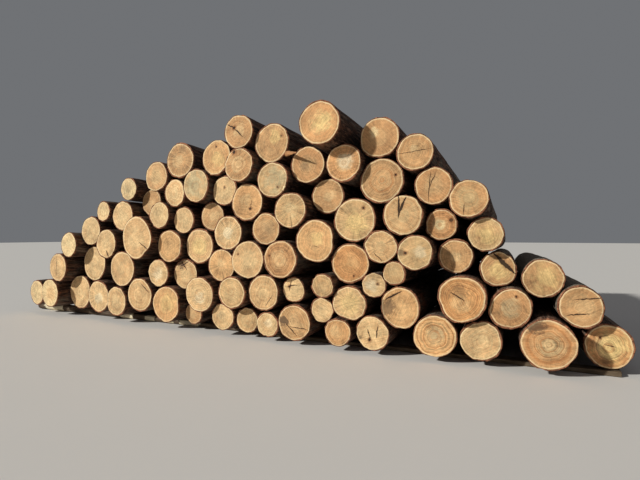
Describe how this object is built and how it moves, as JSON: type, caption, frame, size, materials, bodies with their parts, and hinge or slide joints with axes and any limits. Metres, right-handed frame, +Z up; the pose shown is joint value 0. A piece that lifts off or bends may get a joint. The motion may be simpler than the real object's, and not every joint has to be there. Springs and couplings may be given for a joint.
{
  "type": "heap of logs",
  "caption": "Heap of round sawlogs with bark, stacked in rough rows across low bearers, cut ends flush at the front.",
  "frame": {"origin": "on the ground, under the middle of the heap's box", "axes": "+X along the heap to the right as its shown ends are seen, +Y from the shown ends into the heap, +Z up"},
  "size_m": [9.0248, 4.098, 2.9583],
  "materials": {
    "log": "freshly sawn ends with growth rings, rough brown bark on the sides",
    "bearer": "weathered grey wood"
  },
  "bodies": {
    "root": {"row_1_logs_odd": "log", "row_1_logs_even": "log", "row_2_logs_odd": "log", "row_2_logs_even": "log", "row_3_logs_odd": "log", "row_3_logs_even": "log", "row_4_logs_odd": "log", "row_4_logs_even": "log", "row_5_logs_odd": "log", "row_5_logs_even": "log", "row_6_logs_odd": "log", "row_6_logs_even": "log", "row_7_logs_odd": "log", "row_7_logs_even": "log", "bearer_pole_front": "bearer", "bearer_pole_back": "bearer", "bearer_timber_front": "bearer", "bearer_timber_back": "bearer"}
  },
  "joints": []
}
